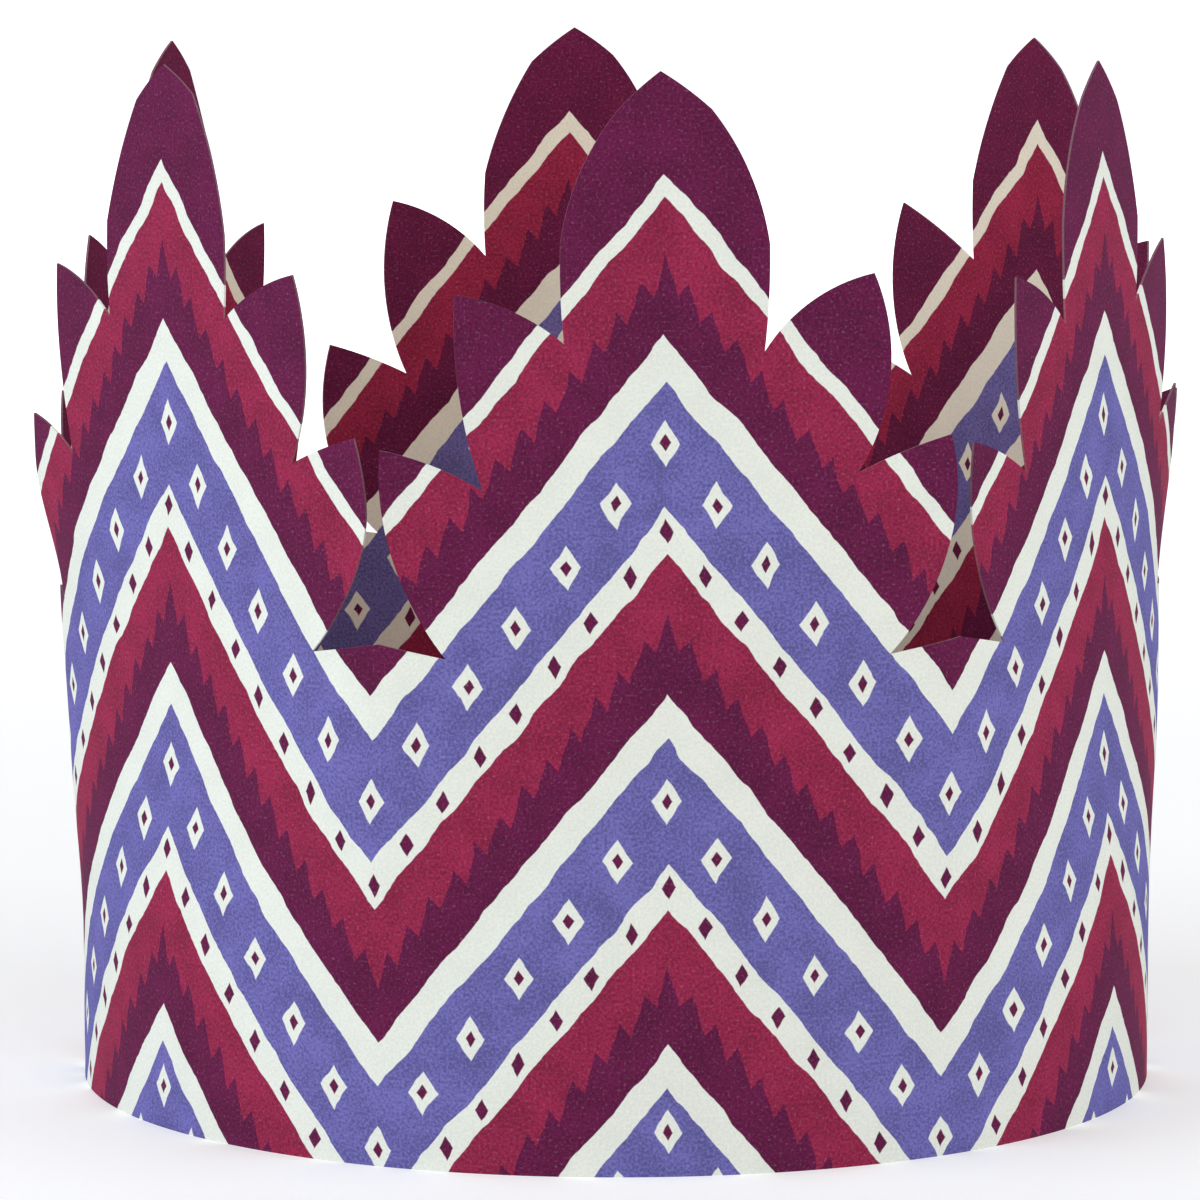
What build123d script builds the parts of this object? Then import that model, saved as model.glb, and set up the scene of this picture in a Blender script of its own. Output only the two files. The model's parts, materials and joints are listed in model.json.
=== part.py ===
import os
from math import cos, pi, sin

from build123d import *

os.makedirs("parts", exist_ok=True)

# The flat card strip, in mm
repeats = 6             # plumes round the crown
repeat_width = 100.0    # strip length per plume, so the crown is 600 mm round
band_height = 86.5      # base edge to the notches beside each plume's root
plume_height = 97.0     # those notches to the plume tips
dome_rise = 2.2         # low peak of the cut edge between two plumes, above the notches
dome_shift = 1.7        # that peak's distance to the right of the mid line between two plumes
card = 0.4              # thickness
lap_width = 12.0        # glued overlap of the two ends of the strip
lap_run = 2.0           # strip length beside the overlap in which the outer end drops back

# The shape it takes once rolled: round at the base, springing back towards flat below each plume
rim_height = 25.0       # truly round part at the base, where it sits on a head
relax_height = 70.0     # level from which the card has sprung back fully
relax_ratio = 0.4       # curve that it has lost there and on the plumes

# Corners of a plume's cut edge from its root up, on the left and right as seen from outside: distance,
# height above the root notches, and bulge of the edge that leads on to the next corner.
# The first corners are measured in from the mid lines between plumes, the others out from the plume's own.
root_left = ((13.3, 0.0, 3.6), (2.7, 34.9, 0.8))
root_right = ((12.0, 0.0, 5.2), (1.9, 36.5, 0.4))
leaf_left = ((30.3, 28.1, 1.6), (34.8, 60.5, 1.4), (16.7, 52.2, 0.3), (17.3, 69.0, 3.7))
leaf_right = ((32.3, 30.4, 3.6), (35.0, 63.5, 1.2), (16.6, 52.1, 0.3), (17.5, 68.5, 3.7))

dome_height = band_height + dome_rise
band_top = dome_height + card               # level at which the plumes start
tip_height = band_height + plume_height
cut_margin = 5 * card                       # cutters run past the card by this much

radius = repeats * repeat_width / (2 * pi)
half_sector = pi / repeats
front = -pi / 2                             # the first plume faces -Y
seam_plume = repeats // 3                   # the overlap follows this plume, out of sight behind the first

# The ring where the card has sprung back: a flatter side below each plume and a tighter corner between
# two, tangent to each other and as long together as the round rim
valley_width = lap_width + 2 * lap_run
root_width = repeat_width - valley_width
side = radius / (1 - relax_ratio)
turn = root_width / 2 / side
corner = valley_width / 2 / (half_sector - turn)
corner_out = (side - corner) * sin(turn) / sin(half_sector)
side_out = corner_out * cos(half_sector) - (side - corner) * cos(turn)


def spot(centre_out, centre_turn, size, at):
    """Point on a circle whose centre lies at a distance and a turn from the crown's axis."""
    return (centre_out * cos(centre_turn) + size * cos(at), centre_out * sin(centre_turn) + size * sin(at))


def arc(centre_out, centre_turn, size, start, end, end_size=None):
    """Arc from one turn to another about such a centre, easing to another size where one is given."""
    end_size = end_size or size
    middle = spot(centre_out, centre_turn, (size + end_size) / 2, (start + end) / 2)
    return ThreePointArc(
        spot(centre_out, centre_turn, size, start), middle, spot(centre_out, centre_turn, end_size, end))


def lap_edges(centre_out, valley, low, start, end, inner):
    """Corner with the overlap: the right end of the strip lies outside the left one and drops back."""
    drop = valley + lap_width / 2 / low
    step = drop if inner else 2 * valley - drop
    high = low + card
    edges = [
        arc(centre_out, valley, low, start, step),
        Line(spot(centre_out, valley, low, step), spot(centre_out, valley, high, step)),
        arc(centre_out, valley, high, drop, end, low),
    ]
    return edges if inner else edges + [arc(centre_out, valley, high, step, drop)]


def ring(height, inner):
    """Face within the outer or inner outline of the rolled band: round up to the rim, relaxed above."""
    flat_size, flat_out, tight_size, tight_out = side, side_out, corner, corner_out
    if height <= rim_height:
        flat_size, flat_out, tight_size, tight_out = radius, 0, radius, 0
    inset = card if inner else 0
    edges = []
    for plume in range(repeats):
        facing = front + 2 * half_sector * plume
        valley = facing + half_sector
        start, end = facing + turn, valley + half_sector - turn
        edges.append(arc(flat_out, facing, flat_size - inset, facing - turn, start))
        if plume == seam_plume:
            edges += lap_edges(tight_out, valley, tight_size - inset, start, end, inner)
        else:
            edges.append(arc(tight_out, valley, tight_size - inset, start, end))
    return Pos(0, 0, height) * make_face(edges)


def plume_outline():
    """A plume seen square on, closed across its root."""
    half = repeat_width / 2
    left = [(gap - half, rise, bulge) for gap, rise, bulge in root_left]
    left += [(-out, rise, bulge) for out, rise, bulge in leaf_left]
    right = [(half - gap, rise, bulge) for gap, rise, bulge in root_right] + list(leaf_right)
    corners = [(x, band_height + rise) for x, rise, bulge in left] + [(0, tip_height)]
    corners += [(x, band_height + rise) for x, rise, bulge in reversed(right)]
    bulges = [row[2] for row in left] + [row[2] for row in reversed(right)]
    edges = [SagittaArc(*edge) for edge in zip(corners, corners[1:], bulges)]
    return make_face(edges + [Line(corners[-1], corners[0])])


def square_on(outline):
    """Prism through the front wall of the crown with an outline drawn square on to the first plume."""
    return extrude(Plane.XZ.offset(radius / 2) * outline, radius)


def cut_plume():
    """A plume above the band: card on the shallow arc of the band's flatter side, cut to its outline."""
    reach = (repeat_width / 2 + cut_margin) / side
    outer = arc(side_out, front, side, front - reach, front + reach)
    inner = arc(side_out, front, side - card, front - reach, front + reach)
    section = make_face([outer, Line(outer @ 1, inner @ 1), inner, Line(outer @ 0, inner @ 0)])
    return extrude(Pos(0, 0, band_top) * section, tip_height - band_top) & square_on(plume_outline())


def valley_across(run):
    """Distance from a plume's mid plane of the strip between plumes, at a run along it from the plume."""
    return corner_out * sin(half_sector) + corner * sin(turn + (run - root_width / 2) / corner)


def valley_waste():
    """What is cut from the top of the band on both sides of a plume's root, up to the domes' peaks."""
    left = -valley_across(repeat_width / 2 - dome_shift)
    right = valley_across(repeat_width / 2 + dome_shift)
    left_end, right_end, top = left - cut_margin, right + cut_margin, band_top + cut_margin
    left_notch, right_notch = root_left[0][0] - repeat_width / 2, repeat_width / 2 - root_right[0][0]
    above = Polyline(
        (left_notch, band_height), (left, dome_height), (left_end, dome_height), (left_end, top),
        (right_end, top), (right_end, dome_height), (right, dome_height), (right_notch, band_height),
        close=True)
    return square_on(make_face(above) - plume_outline())


around = PolarLocations(0, repeats)
levels = (rim_height, relax_height)
rim = extrude(ring(0, False) - ring(0, True), rim_height)
slope = loft([ring(level, False) for level in levels]) - loft([ring(level, True) for level in levels])
band = extrude(ring(relax_height, False) - ring(relax_height, True), band_top - relax_height)
band -= [place * valley_waste() for place in around]
crown = rim + slope + band + [place * cut_plume() for place in around]
export_step(crown, "parts/crown.step")
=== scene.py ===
"""Paper crown: a strip of printed card, cut into plumes, rolled and lapped, standing on a pale floor."""
import json
from math import atan2, ceil, cos, hypot, pi, radians, sin

import bmesh
import bpy
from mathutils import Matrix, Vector


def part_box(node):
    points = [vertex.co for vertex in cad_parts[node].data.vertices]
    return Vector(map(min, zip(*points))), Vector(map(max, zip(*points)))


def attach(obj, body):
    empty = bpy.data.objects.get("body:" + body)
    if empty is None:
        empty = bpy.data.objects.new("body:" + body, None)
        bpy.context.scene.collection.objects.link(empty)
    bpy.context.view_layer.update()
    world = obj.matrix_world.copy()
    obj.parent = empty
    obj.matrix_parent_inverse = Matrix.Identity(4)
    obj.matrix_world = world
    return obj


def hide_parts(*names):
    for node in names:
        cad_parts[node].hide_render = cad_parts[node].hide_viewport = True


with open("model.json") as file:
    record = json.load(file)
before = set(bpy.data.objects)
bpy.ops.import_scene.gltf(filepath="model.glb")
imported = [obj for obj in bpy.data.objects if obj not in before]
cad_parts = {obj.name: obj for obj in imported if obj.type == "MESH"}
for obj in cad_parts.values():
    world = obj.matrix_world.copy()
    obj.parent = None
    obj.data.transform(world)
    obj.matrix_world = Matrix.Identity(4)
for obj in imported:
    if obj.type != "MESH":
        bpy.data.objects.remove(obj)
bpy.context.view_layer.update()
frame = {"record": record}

MM = 0.001

# The flat strip in mm, as in the part's source
repeats = 6                         # plumes round the crown
repeat_width = 100.0                # strip length per plume
band_height = 86.5                  # base edge to the notches beside each plume's root
dome_rise = 2.2                     # low peak of the cut edge between two plumes, above the notches
dome_shift = 1.7                    # that peak's distance to the right of the mid line between two plumes
card = 0.4                          # thickness
lap_width = 12.0                    # glued overlap of the two ends of the strip
lap_run = 2.0                       # strip length beside the overlap in which the outer end drops back
seam_plume = 2                      # the overlap follows this plume, counted rightwards from the front one

# Corners of a plume's cut edge from its root up: distance, height above the root notches, and bulge of
# the edge that leads on. The root's are measured in from the mid lines between plumes, the others out
# from the plume's own. Each plume has its own bulge above the shoulders.
root_left = ((13.3, 0.0, 3.6), (2.7, 34.9, 0.8))
root_right = ((12.0, 0.0, 5.2), (1.9, 36.5, 0.4))
leaf_left = ((30.3, 28.1, 1.6), (34.8, 60.5, 1.4), (16.7, 52.2, 0.3))
leaf_right = ((32.3, 30.4, 3.6), (35.0, 63.5, 1.2), (16.6, 52.1, 0.3))
shoulder_left = (17.3, 69.0)
shoulder_right = (17.5, 68.5)

# The rolled shape: round at the rim, springing back towards flat with height
head_opening = next(mount for mount in frame["record"]["mounts"] if mount["name"] == "head_opening")
radius = head_opening["dims"]["r_mm"] + card
rim_height = head_opening["dims"]["length_mm"]
relax_height = 70.0                 # level from which the band has sprung back fully
relax_ratio = 0.4                   # curve that it has lost there
plume_relax_height = 130.0          # level from which each plume has a curve of its own
tip_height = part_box("crown")[1].z / MM

# How each plume stands, from the front one rightwards: lean of its tip and bow of its middle, outwards,
# swivel of its right side outwards, and the share of its curve that the card has lost half way up
plume_stance = (
    (-2.6, 1.0, -0.7, 0.90), (-1.2, 1.6, 0.4, 0.61), (1.8, 2.6, -1.2, 0.54),
    (-2.0, 0.3, 1.0, 0.18), (-1.2, 0.1, -0.9, 0.74), (2.4, 2.3, -2.3, 0.71))
stance_ease = 0.1                   # share of a plume's height in which it turns out of the band's line
swivel_arm = 40.0                   # distance from a plume's middle at which the swivel is measured
swivel_height = 112.0               # level from which a plume is swivelled fully

# From the tip each plume's cut runs almost straight to a soft knuckle on either side, and bulges from
# there to the shoulder. Left and right knuckle of each plume, from the front one rightwards: distance
# from the plume's middle, depth below the level of the tips, and bulge of the edge below it
tip_knuckles = (
    ((7.8, 6.5, 1.6), (7.9, 6.3, 1.6)), ((7.9, 6.5, 1.9), (8.0, 7.9, 0.8)),
    ((7.4, 6.6, 1.6), (7.7, 6.7, 1.0)), ((7.9, 6.2, 1.7), (7.7, 7.4, 0.9)),
    ((6.9, 6.6, 0.4), (7.6, 6.1, 1.5)), ((7.8, 6.9, 0.6), (8.5, 5.2, 1.4)))
tip_bulge = 0.25                    # bulge of the edges between a tip and its knuckles

# Where each plume's cut strays from the others', from the front one rightwards: the corner, counted from
# 0 at the left root notch, over the tip, 7, to the right notch, 14, how far it strays rightwards and up,
# and how much more the edge that leads on from it bulges
cut_strays = (
    ((7, -0.6, 0.0, 0.0), (10, 0.0, -1.5, 1.1), (11, 0.0, 0.0, 0.5)),
    ((3, 0.3, 1.1, 0.0), (7, 0.0, -0.7, 0.0), (10, -0.8, 1.2, 0.0)),
    ((7, 0.0, -1.1, 0.0), (10, 0.3, 1.4, -0.8), (11, 0.3, 0.0, 0.4), (12, -0.8, 0.4, 0.0)),
    ((7, -0.5, -0.9, 0.0), (9, -0.8, 0.0, 0.0), (10, 0.0, 0.4, 0.6), (11, 0.0, 0.0, -0.5)),
    ((7, 0.0, -0.9, 0.0), (11, 0.0, -0.4, 0.0)),
    ((0, -6.5, 0.0, -0.6), (1, 0.0, -1.7, 0.0), (2, -1.8, -0.7, 0.0), (5, 0.4, 0.0, 0.0),
     (7, 0.0, -0.6, 0.0), (10, 0.4, 2.1, 0.0), (11, 0.0, -0.6, 0.0), (12, 0.4, 0.6, 0.0)))

# The valley to the left of the left plume is pushed out at its top, and that plume's lower lobe with it
pushed_valley = -1.5 * repeat_width
valley_push = 1.4
push_start, push_full, push_end = 60.0, 92.0, 118.0     # levels
push_right, push_left = 55.0, 12.0                      # how far along the strip it reaches

edge_step = 1.6                     # longest run of a cut edge between two vertices
column_step = 2.5                   # spacing of the mesh lines up the strip
row_step = 4.0                      # and of those along it
line_snap = 0.0001                  # distance at which a mesh line takes a vertex as lying on it
lap_gap = 0.02                      # air in the glued overlap

dome_height = band_height + dome_rise
band_top = dome_height + card
half_sector = pi / repeats
valley_width = lap_width + 2 * lap_run
root_width = repeat_width - valley_width
first_plume = seam_plume + 1 - repeats
strip_start = (first_plume - 0.5) * repeat_width - lap_width / 2
strip_end = (seam_plume + 0.5) * repeat_width + lap_width / 2


def eased(value, start, end):
    """Share from 0 to 1 that a value has gone from start to end, up or down, with soft ends."""
    share = min(max((value - start) / (end - start), 0.0), 1.0)
    return share * share * (3 - 2 * share)


def run_on(bm, vert, x, z, bulge=0.0):
    """Carries a cut edge on from its last vertex, straight or as an arc that bulges out of the card."""
    end = Vector((x, 0.0, z))
    if not bulge:
        made = bmesh.ops.extrude_vert_indiv(bm, verts=[vert])
        made["verts"][0].co = end
        return made["verts"][0]
    chord = end - vert.co
    size = (chord.length_squared / 4 + bulge * bulge) / (2 * bulge)
    inwards = Vector((chord.z, 0.0, -chord.x)).normalized()
    centre = vert.co + chord / 2 + inwards * (size - bulge)
    sweep = 4 * atan2(2 * bulge, chord.length)
    made = bmesh.ops.spin(
        bm, geom=[vert], cent=centre, axis=(0, 1, 0), angle=sweep, steps=ceil(size * sweep / edge_step))
    return made["geom_last"][0]


def dome_line(valley, x):
    """Height of the low roof-shaped cut between two plumes."""
    peak = valley + dome_shift
    foot = valley - root_right[0][0] if x < peak else valley + root_left[0][0]
    return band_height + dome_rise * (x - foot) / (peak - foot)


def cut_side(root, leaf, shoulder, knuckle):
    """Corners of one side of a plume's cut edge from the root up to the knuckle: distance out from the
    plume's middle, height, and bulge of the edge that leads on."""
    knuckle_out, knuckle_down, shoulder_bulge = knuckle
    rows = [(repeat_width / 2 - gap, band_height + rise, bulge) for gap, rise, bulge in root]
    rows += [(out, band_height + rise, bulge) for out, rise, bulge in leaf]
    rows.append((shoulder[0], band_height + shoulder[1], shoulder_bulge))
    rows.append((knuckle_out, tip_height - knuckle_down, tip_bulge))
    return rows


def plume_edge(bm, vert, plume):
    """Cut edge of one plume, from its left root notch over the tip to its right one."""
    middle = plume * repeat_width
    left_knuckle, right_knuckle = tip_knuckles[plume % repeats]
    left = cut_side(root_left, leaf_left, shoulder_left, left_knuckle)
    right = cut_side(root_right, leaf_right, shoulder_right, right_knuckle)[::-1]
    corners = [(-out, height) for out, height, _ in left] + [(0.0, tip_height)]
    corners += [(out, height) for out, height, _ in right]
    bulges = [bulge for _, _, bulge in left + right]
    for corner, across, up, more in cut_strays[plume % repeats]:
        x, z = corners[corner]
        corners[corner] = (x + across, z + up)
        bulges[corner] += more
    vert = run_on(bm, vert, middle + corners[0][0], corners[0][1])
    for (x, z), bulge in zip(corners[1:], bulges):
        vert = run_on(bm, vert, middle + x, z, bulge)
    return vert


def flat_strip():
    """The cut strip lying in the XZ plane, as one face with its outline."""
    bm = bmesh.new()
    valley = (first_plume - 0.5) * repeat_width
    start = bmesh.ops.create_vert(bm, co=(strip_start, 0, 0))["vert"][0]
    vert = run_on(bm, start, strip_start, dome_line(valley, strip_start))
    for plume in range(first_plume, seam_plume + 1):
        vert = run_on(bm, vert, (plume - 0.5) * repeat_width + dome_shift, dome_height)
        vert = plume_edge(bm, vert, plume)
    valley = (seam_plume + 0.5) * repeat_width
    vert = run_on(bm, vert, valley + dome_shift, dome_height)
    vert = run_on(bm, vert, strip_end, dome_line(valley, strip_end))
    vert = run_on(bm, vert, strip_end, 0.0)
    bm.edges.new((vert, start))
    bmesh.ops.edgeloop_fill(bm, edges=bm.edges[:])
    return bm


def grid_lines(bm):
    """Divides the flat strip by evenly spaced lines up and along it, so that it can bend."""
    width = strip_end - strip_start
    columns = ceil(width / column_step)
    rows = ceil(tip_height / row_step)
    planes = [((0, 0, tip_height * k / rows), (0, 0, 1)) for k in range(1, rows)]
    planes += [((strip_start + width * k / columns, 0, 0), (1, 0, 0)) for k in range(1, columns)]
    for point, normal in planes:
        geometry = bm.verts[:] + bm.edges[:] + bm.faces[:]
        bmesh.ops.bisect_plane(bm, geom=geometry, dist=line_snap, plane_co=point, plane_no=normal)


def ring_arcs(relaxed):
    """The ring where the card has lost a share of its curve, a flatter side below each plume and a
    tighter corner between two: the size of each, its centre's distance from the axis, and the turn where
    they meet."""
    side = radius / (1 - relaxed)
    turn = root_width / 2 / side
    corner = valley_width / 2 / (half_sector - turn)
    corner_out = (side - corner) * sin(turn) / sin(half_sector)
    side_out = corner_out * cos(half_sector) - (side - corner) * cos(turn)
    return side, side_out, corner, corner_out, turn


def plume_stand(plume, across, height):
    """How far a point of a plume stands out of the band's line."""
    lean, bow, swivel, _ = plume_stance[plume % repeats]
    rise = hypot(max(height - band_top, 0.0) / (tip_height - band_top), stance_ease) - stance_ease
    stand = lean * rise + bow * 4 * rise * (1 - rise)
    return stand + swivel * across / swivel_arm * eased(height, band_top, swivel_height)


def valley_stand(run, height):
    """How far a point stands out with the top of the pushed valley."""
    push = valley_push * eased(height, push_start, push_full) * eased(height, push_end, push_full)
    beside = run - pushed_valley
    if beside > 0:
        return push * eased(beside, push_right, push_left)
    return push * eased(-beside, push_left, 0.0) if height <= band_top else 0.0


def rolled(run, height):
    """Where a point of the flat strip lies on the rolled crown's outer face, in metres."""
    plume = round(run / repeat_width)
    across = run - plume * repeat_width
    facing = 2 * half_sector * plume - pi / 2
    lost_curve = plume_stance[plume % repeats][3]
    relaxed = relax_ratio * eased(height, rim_height, relax_height)
    relaxed += (lost_curve - relax_ratio) * eased(height, band_top, plume_relax_height)
    side, side_out, corner, corner_out, turn = ring_arcs(relaxed)
    beyond = abs(across) - root_width / 2
    if height > band_top or beyond < 0:
        centre_turn, centre_out, size = facing, side_out, side
        normal = facing + across / side
    else:
        way = 1 if across > 0 else -1
        centre_turn, centre_out, size = facing + way * half_sector, corner_out, corner
        normal = facing + way * (turn + beyond / corner)
    lift = (card + lap_gap) * eased(strip_start + lap_width + lap_run - run, 0.0, lap_run)
    pushed_facing = 2 * half_sector * pushed_valley / repeat_width - pi / 2
    moves = (
        (centre_out, centre_turn),
        (size + lift, normal),
        (plume_stand(plume, across, height), facing),
        (valley_stand(run, height), pushed_facing))
    x = sum(distance * cos(heading) for distance, heading in moves)
    y = sum(distance * sin(heading) for distance, heading in moves)
    return Vector((x, y, height)) * MM


# The print runs a little wide on the strip, so that it doesn't quite meet in the overlap
print_stretch = 1.002


def make_crown():
    """The strip with its print's coordinates on it, rolled, and given the card's thickness inwards."""
    bm = flat_strip()
    grid_lines(bm)
    print_map = bm.loops.layers.uv.new("print_map")
    for face in bm.faces:
        face.smooth = True
        for loop in face.loops:
            flat = loop.vert.co
            loop[print_map].uv = (flat.x * print_stretch / repeat_width, flat.z / repeat_width)
    for edge in bm.edges:
        edge.smooth = not edge.is_boundary
    for vert in bm.verts:
        vert.co = rolled(vert.co.x, vert.co.z)
    front_face = min(bm.faces, key=lambda face: face.calc_center_median().y)
    front_face.normal_update()
    if front_face.normal.y > 0:
        bmesh.ops.reverse_faces(bm, faces=bm.faces[:])
    mesh = bpy.data.meshes.new("paper_crown")
    bm.to_mesh(mesh)
    bm.free()
    crown = bpy.data.objects.new("paper_crown", mesh)
    bpy.context.scene.collection.objects.link(crown)
    thickness = crown.modifiers.new("card_thickness", "SOLIDIFY")
    thickness.thickness = card * MM
    thickness.offset = -1.0
    thickness.use_even_offset = True
    thickness.material_offset = 1
    thickness.material_offset_rim = 2
    return crown


class Field:
    """A value that changes over a surface: an output socket that sums and products can be written with."""

    def __init__(self, tree, socket):
        self.tree = tree
        self.socket = socket

    def through(self, operation, *others):
        """The result of a math node that takes this field first."""
        node = self.tree.nodes.new("ShaderNodeMath")
        node.operation = operation
        for entry, value in zip(node.inputs, (self, *others)):
            feed(self.tree, entry, value)
        return Field(self.tree, node.outputs[0])

    def __add__(self, other):
        return self.through("ADD", other)

    def __sub__(self, other):
        return self.through("SUBTRACT", other)

    def __mul__(self, other):
        return self.through("MULTIPLY", other)

    def __abs__(self):
        return self.through("ABSOLUTE")

    def rising(self, start, end):
        """Mask that goes from 0 to 1 while this field goes from start to end, up or down."""
        node = self.tree.nodes.new("ShaderNodeMapRange")
        node.interpolation_type = "SMOOTHSTEP"
        for name, value in (("Value", self), ("From Min", start), ("From Max", end)):
            feed(self.tree, node.inputs[name], value)
        return Field(self.tree, node.outputs["Result"])


def feed(tree, entry, value):
    """Links a field to a node's input, or sets a plain value there."""
    if isinstance(value, Field):
        tree.links.new(value.socket, entry)
    else:
        entry.default_value = value


def noise(tree, place, size, detail, shift):
    """Even noise from 0 to 1 with lumps of a size in mm, on print coordinates in mm."""
    offset = tree.nodes.new("ShaderNodeVectorMath")
    offset.operation = "ADD"
    feed(tree, offset.inputs[0], place)
    offset.inputs[1].default_value = (shift, shift, shift)
    node = tree.nodes.new("ShaderNodeTexNoise")
    node.inputs["Scale"].default_value = 1 / size
    node.inputs["Detail"].default_value = detail
    tree.links.new(offset.outputs["Vector"], node.inputs["Vector"])
    return Field(tree, node.outputs["Fac"])


def blend(tree, mask, under, over, kind="MIX"):
    """Colour that goes from one to another by a mask."""
    node = tree.nodes.new("ShaderNodeMix")
    node.data_type = "RGBA"
    node.blend_type = kind
    feed(tree, node.inputs["Factor"], mask)
    feed(tree, node.inputs["A"], under)
    feed(tree, node.inputs["B"], over)
    return Field(tree, node.outputs["Result"])


def linear(red, green, blue):
    """Colour as light, from its screen values of 0 to 255."""
    return tuple(((value / 255 + 0.055) / 1.055) ** 2.4 for value in (red, green, blue)) + (1.0,)


plum = linear(106, 27, 73)
crimson = linear(157, 41, 79)
lavender = linear(116, 111, 182)
ivory = linear(231, 234, 224)
core = linear(226, 214, 206)            # bare card at a cut edge
fibre = linear(242, 212, 228)           # card fibres that show through the ink
black = (0.0, 0.0, 0.0, 1.0)
white = (1.0, 1.0, 1.0, 1.0)
painted_warm_bounce = (1.12, 0.97, 0.85, 1.0)    # painted warm light: a tint over the inks of the inner face that stands in for the warmer bounced light there

# Courses of the zigzag print from the base up, by their height in mm on the middle of a plume
courses = (
    (lavender, 15.0), (ivory, 7.0), (plum, 9.0), (crimson, 14.0), (ivory, 7.5),
    (lavender, 21.0), (ivory, 7.5), (plum, 9.0), (crimson, 14.0), (ivory, 7.5),
    (lavender, 21.0), (ivory, 7.5), (plum, 9.0), (crimson, 14.0), (ivory, 4.0), (plum, 40.0))
zigzag_slope = 1.2                  # fall of a course for each mm that it goes out from a plume's middle
print_edge = 0.12                   # softness of a printed edge, in mm
print_stray = 2.4                   # most that the hand strays between its two sides, in mm
large_diamond = (50 / 6, 2.5, 3.8)  # pitch along the strip, half width and half height, in mm
large_centre = 0.36                 # size of the plum centre of a large diamond, as a share of it
small_diamond = (50 / 8, 1.2, 1.9)
tooth_pitch = 4.0                   # teeth between plum and crimson, in mm
tooth_height = 4.5

# Noises: size of the lumps in mm, detail, and a shift that sets each apart from the others
stray_along = (9.0, 3.0, 0.0)
stray_up = (9.0, 3.0, 71.0)
cloud_broad = (7.0, 3.0, 13.0)
cloud_fine = (0.5, 2.0, 29.0)
fleck_noise = (0.5, 1.0, 47.0)
tooth_fine = (0.5, 5.0, 5.0)
tooth_broad = (2.2, 2.0, 88.0)

# The card's finish
cloud_broad_share, cloud_fine_share = 0.3, 0.7
cloud_light, cloud_dark = 0.65, 0.35    # cloudiness at which the ink starts to darken, and is darkest
ink_pale, ink_deep = 0.6, 0.2           # green light of an ink that counts as pale, and as deep
pale_mottle = 0.1                       # share by which the cloudiness darkens a pale ink
deep_mottle = 0.36                      # and how much more it darkens a deep one
fleck_start, fleck_full = 0.56, 0.84    # noise at which a fleck starts to show, and shows fully
fleck_share = 0.09                      # fibre colour in a fleck
tooth_broad_share = 0.5
tooth_strength = 0.25
tooth_depth = 0.03                      # in mm
rough_least = 0.7
rough_spread = 0.2
card_gloss = 0.12
edge_bare = 0.14                        # share of bare card on the cut edge


def card_place(tree):
    """Print coordinates in mm, as a vector."""
    source = tree.nodes.new("ShaderNodeUVMap")
    source.uv_map = "print_map"
    scale = tree.nodes.new("ShaderNodeVectorMath")
    scale.operation = "SCALE"
    scale.inputs["Scale"].default_value = repeat_width
    tree.links.new(source.outputs["UV"], scale.inputs[0])
    return Field(tree, scale.outputs["Vector"])


def new_group(name, *outputs):
    """An empty node group with named outputs, given as pairs of name and kind."""
    group = bpy.data.node_groups.new(name, "ShaderNodeTree")
    for label, kind in outputs:
        group.interface.new_socket(label, in_out="OUTPUT", socket_type=kind)
    return group, group.nodes.new("NodeGroupOutput")


def diamonds(out, height, level, pitch, half_width, half_height):
    """Field that is 0 in the middle of each upright diamond along a course and 1 on its outline."""
    middle = (out + pitch / 2).through("SNAP", pitch)
    off = abs(height + middle * zigzag_slope - level)
    return abs(out - middle) * (1 / half_width) + off * (1 / half_height)


def zigzag_print():
    """The print: zigzag courses that peak on each plume, with diamonds along the lavender and ivory ones
    and teeth on the plum ones, all a little uneven as if cut and inked by hand."""
    group, result = new_group("zigzag_print", ("Ink", "NodeSocketColor"))
    place = card_place(group)
    split = group.nodes.new("ShaderNodeSeparateXYZ")
    group.links.new(place.socket, split.inputs[0])
    along = Field(group, split.outputs["X"]) + (noise(group, place, *stray_along) - 0.5) * print_stray
    height = Field(group, split.outputs["Y"]) + (noise(group, place, *stray_up) - 0.5) * print_stray
    out = along.through("PINGPONG", repeat_width / 2)
    level = height + out * zigzag_slope
    colour = courses[0][0]
    start = 0.0
    for (ink, tall), (next_ink, _) in zip(courses, courses[1:]):
        edge = level
        if (ink, next_ink) == (plum, crimson):
            teeth = out.through("PINGPONG", tooth_pitch / 2) * (2 * tooth_height / tooth_pitch)
            edge = level + teeth - tooth_height
        if ink == lavender:
            shape = diamonds(out, height, start + tall / 2, *large_diamond)
            soft = print_edge / large_diamond[1]
            colour = blend(group, shape.rising(1 + soft, 1 - soft), colour, ivory)
            colour = blend(group, shape.rising(large_centre + soft, large_centre - soft), colour, plum)
        if (ink, next_ink) == (ivory, lavender):
            shape = diamonds(out, height, start + tall / 2, *small_diamond)
            soft = print_edge / small_diamond[1]
            colour = blend(group, shape.rising(1 + soft, 1 - soft), colour, plum)
        start += tall
        colour = blend(group, edge.rising(start - print_edge, start + print_edge), colour, next_ink)
    group.links.new(colour.socket, result.inputs["Ink"])
    return group


def card_grain():
    """Uncoated card: soft cloudiness of the ink, thin spots where fibres show through it, and tooth."""
    names = ("Cloud", "Thin", "Tooth")
    group, result = new_group("card_grain", *((name, "NodeSocketFloat") for name in names))
    place = card_place(group)
    cloud = noise(group, place, *cloud_broad) * cloud_broad_share
    cloud += noise(group, place, *cloud_fine) * cloud_fine_share
    thin = noise(group, place, *fleck_noise).rising(fleck_start, fleck_full)
    tooth = noise(group, place, *tooth_fine) + noise(group, place, *tooth_broad) * tooth_broad_share
    for name, field in zip(names, (cloud, thin, tooth)):
        group.links.new(field.socket, result.inputs[name])
    return group


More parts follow.
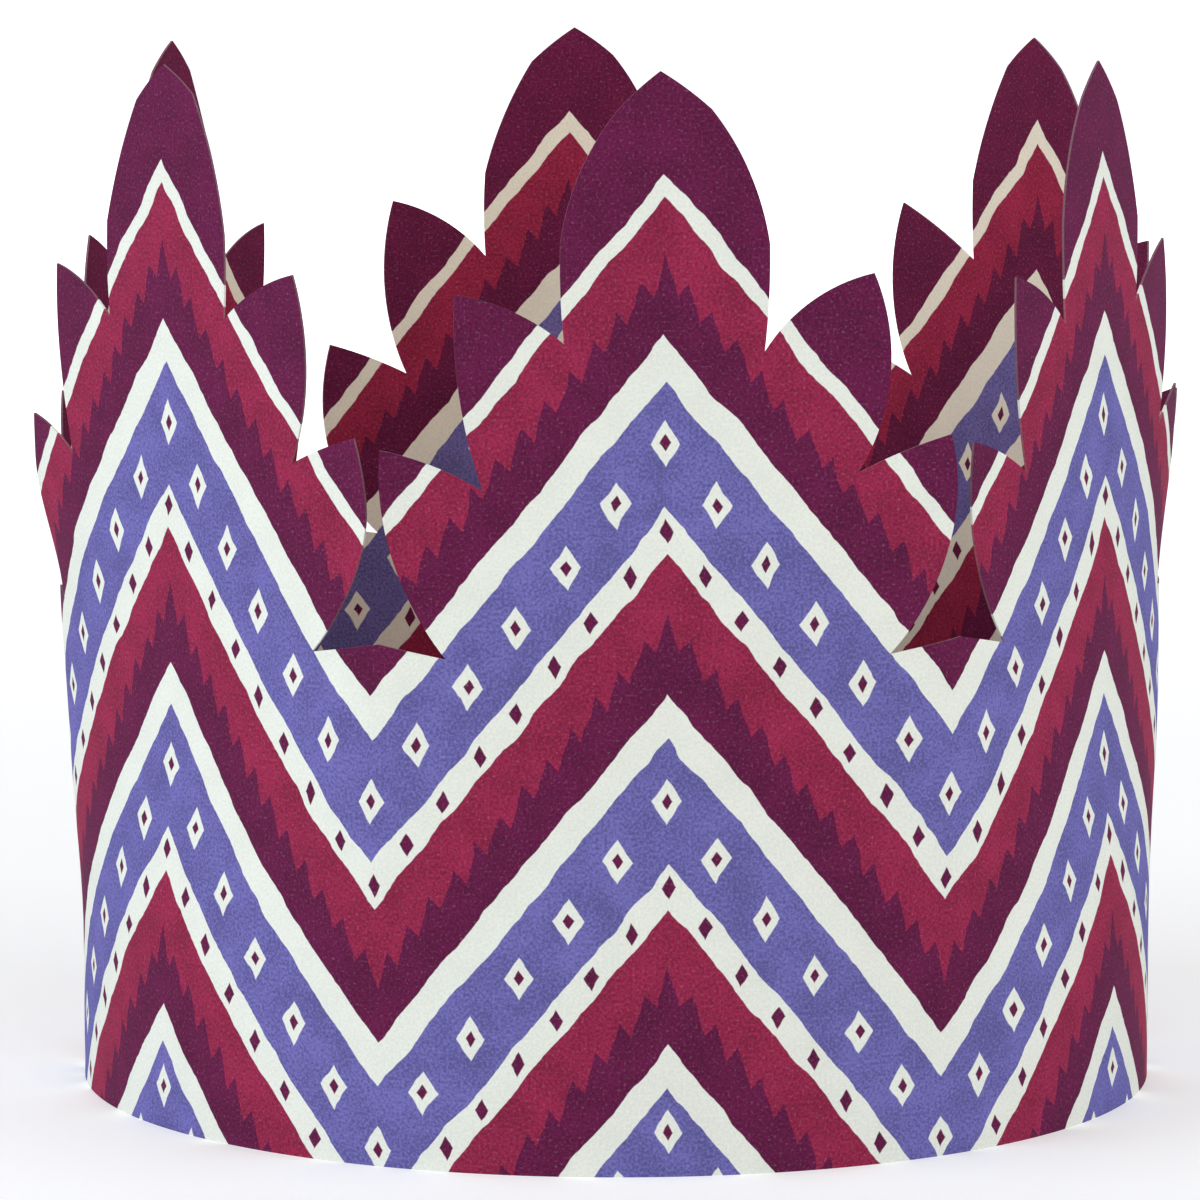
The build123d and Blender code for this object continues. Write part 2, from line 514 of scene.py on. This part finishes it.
def placed_group(tree, group):
    """The outputs of a node group placed in a material."""
    node = tree.nodes.new("ShaderNodeGroup")
    node.node_tree = group
    return {entry.name: Field(tree, entry) for entry in node.outputs}


def card_material(name, print_group, grain_group, painted_light_tint=None, bare_share=0.0):
    """Printed card, with a tint over its inks that paints the warmer light of the inner face, and a share
    of bare card where they are given.
    """
    material = bpy.data.materials.new(name)
    material.use_nodes = True
    tree = material.node_tree
    shader = tree.nodes["Principled BSDF"]
    ink = placed_group(tree, print_group)["Ink"]
    grain = placed_group(tree, grain_group)
    split = tree.nodes.new("ShaderNodeSeparateColor")
    tree.links.new(ink.socket, split.inputs["Color"])
    depth = Field(tree, split.outputs["Green"]).rising(ink_pale, ink_deep) * deep_mottle + pale_mottle
    colour = blend(tree, grain["Cloud"].rising(cloud_light, cloud_dark) * depth, ink, black)
    colour = blend(tree, grain["Thin"] * fleck_share, colour, fibre)
    # Painted light: the tint multiplies warm light into the inks of the inner face
    if painted_light_tint:
        colour = blend(tree, 1.0, colour, painted_light_tint, "MULTIPLY")
    if bare_share:
        colour = blend(tree, bare_share, colour, core)
    tree.links.new(colour.socket, shader.inputs["Base Color"])
    tree.links.new((grain["Cloud"] * rough_spread + rough_least).socket, shader.inputs["Roughness"])
    shader.inputs["Specular IOR Level"].default_value = card_gloss
    bump = tree.nodes.new("ShaderNodeBump")
    bump.inputs["Strength"].default_value = tooth_strength
    bump.inputs["Distance"].default_value = tooth_depth * MM
    tree.links.new(grain["Tooth"].socket, bump.inputs["Height"])
    tree.links.new(bump.outputs["Normal"], shader.inputs["Normal"])
    return material


# The room, in metres
floor_radius = 6.0
floor_sides = 96
floor_colour = (0.8, 0.8, 0.8, 1.0)
floor_roughness = 0.9
floor_gloss = 0.1
glow_start, glow_full = 0.3, 1.6    # distances from the crown between which the floor goes over to white
glow_least = 0.28
glow_more = 0.45
room_light = 0.42                   # strength of the surroundings as light; to the camera they are 1, white
lamp_size = 1.6

# Soft lamps: turn round the crown from the front and rise above the floor in degrees, distance, power in
# watts and colour
lamps = {
    "left_lamp": (-75, 22, 2.2, 27.2, (0.93, 1.0, 1.09)),
    "front_lamp": (5, 24, 2.4, 15.2, (1.0, 0.98, 0.95)),
    "right_lamp": (70, 20, 2.4, 20.3, (0.96, 1.0, 1.06)),
    "back_lamp": (178, 22, 2.4, 14.0, (1.0, 1.0, 1.0)),
}

# The photograph's view, in metres and radians
camera_turn = radians(-5.2154)
camera_distance = 1.2083
camera_height = 0.2411
camera_pitch = 0.12881
camera_yaw = -0.00237
focal_pixels = 6813.4
image_pixels = 1200
sensor = 36.0                       # in mm
view_reach = 50.0


def seen_share(tree):
    """1 where a surface is seen, by the camera or in gloss or glass, and 0 where it lights the crown."""
    path = tree.nodes.new("ShaderNodeLightPath")
    seen = Field(tree, path.outputs["Is Camera Ray"]) + Field(tree, path.outputs["Is Glossy Ray"])
    seen += Field(tree, path.outputs["Is Transmission Ray"])
    return seen.through("MINIMUM", 1.0)


def make_floor():
    """Plain pale floor, seen as near white and keeping the crown's shadow."""
    bm = bmesh.new()
    bmesh.ops.create_circle(bm, cap_ends=True, segments=floor_sides, radius=floor_radius)
    mesh = bpy.data.meshes.new("floor")
    bm.to_mesh(mesh)
    bm.free()
    floor = bpy.data.objects.new("floor", mesh)
    bpy.context.scene.collection.objects.link(floor)
    material = bpy.data.materials.new("pale_floor")
    material.use_nodes = True
    tree = material.node_tree
    shader = tree.nodes["Principled BSDF"]
    shader.inputs["Base Color"].default_value = floor_colour
    shader.inputs["Roughness"].default_value = floor_roughness
    shader.inputs["Specular IOR Level"].default_value = floor_gloss
    shader.inputs["Emission Color"].default_value = white
    place = tree.nodes.new("ShaderNodeTexCoord")
    reach = tree.nodes.new("ShaderNodeVectorMath")
    reach.operation = "LENGTH"
    tree.links.new(place.outputs["Object"], reach.inputs[0])
    glow = Field(tree, reach.outputs["Value"]).rising(glow_start, glow_full) * glow_more + glow_least
    tree.links.new((seen_share(tree) * glow).socket, shader.inputs["Emission Strength"])
    mesh.materials.append(material)


def make_world():
    """Even pale surroundings that the camera sees as white."""
    world = bpy.data.worlds.new("pale_room")
    world.use_nodes = True
    tree = world.node_tree
    background = tree.nodes["Background"]
    background.inputs["Color"].default_value = white
    strength = seen_share(tree) * (1.0 - room_light) + room_light
    tree.links.new(strength.socket, background.inputs["Strength"])
    bpy.context.scene.world = world


def add_lamp(name, turn, rise, distance, power, colour):
    """Square soft lamp that looks at the crown from a turn round it and a rise above the floor."""
    light = bpy.data.lights.new(name, "AREA")
    light.size = lamp_size
    light.energy = power
    light.color = colour
    lamp = bpy.data.objects.new(name, light)
    back = Vector((sin(turn) * cos(rise), -cos(turn) * cos(rise), sin(rise)))
    lamp.location = back * distance
    lamp.rotation_euler = (-back).to_track_quat("-Z", "Y").to_euler()
    bpy.context.scene.collection.objects.link(lamp)


def make_camera():
    """Camera at the photograph's place."""
    data = bpy.data.cameras.new("camera")
    data.sensor_width = sensor
    data.lens = focal_pixels * sensor / image_pixels
    data.clip_end = view_reach
    camera = bpy.data.objects.new("camera", data)
    camera.location = (
        camera_distance * sin(camera_turn), -camera_distance * cos(camera_turn), camera_height)
    camera.rotation_euler = (pi / 2 - camera_pitch, 0.0, camera_turn - camera_yaw)
    bpy.context.scene.collection.objects.link(camera)
    bpy.context.scene.camera = camera


crown = make_crown()
print_group = zigzag_print()
grain_group = card_grain()
for material in (
        card_material("printed_card", print_group, grain_group),
        card_material("inner_card", print_group, grain_group, painted_light_tint=painted_warm_bounce),
        card_material("cut_edge", print_group, grain_group, bare_share=edge_bare)):
    crown.data.materials.append(material)
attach(crown, "root")
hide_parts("crown")

make_floor()
make_world()
for name, (turn, rise, distance, power, colour) in lamps.items():
    add_lamp(name, radians(turn), radians(rise), distance, power, colour)
make_camera()
bpy.context.scene.view_settings.view_transform = "Standard"
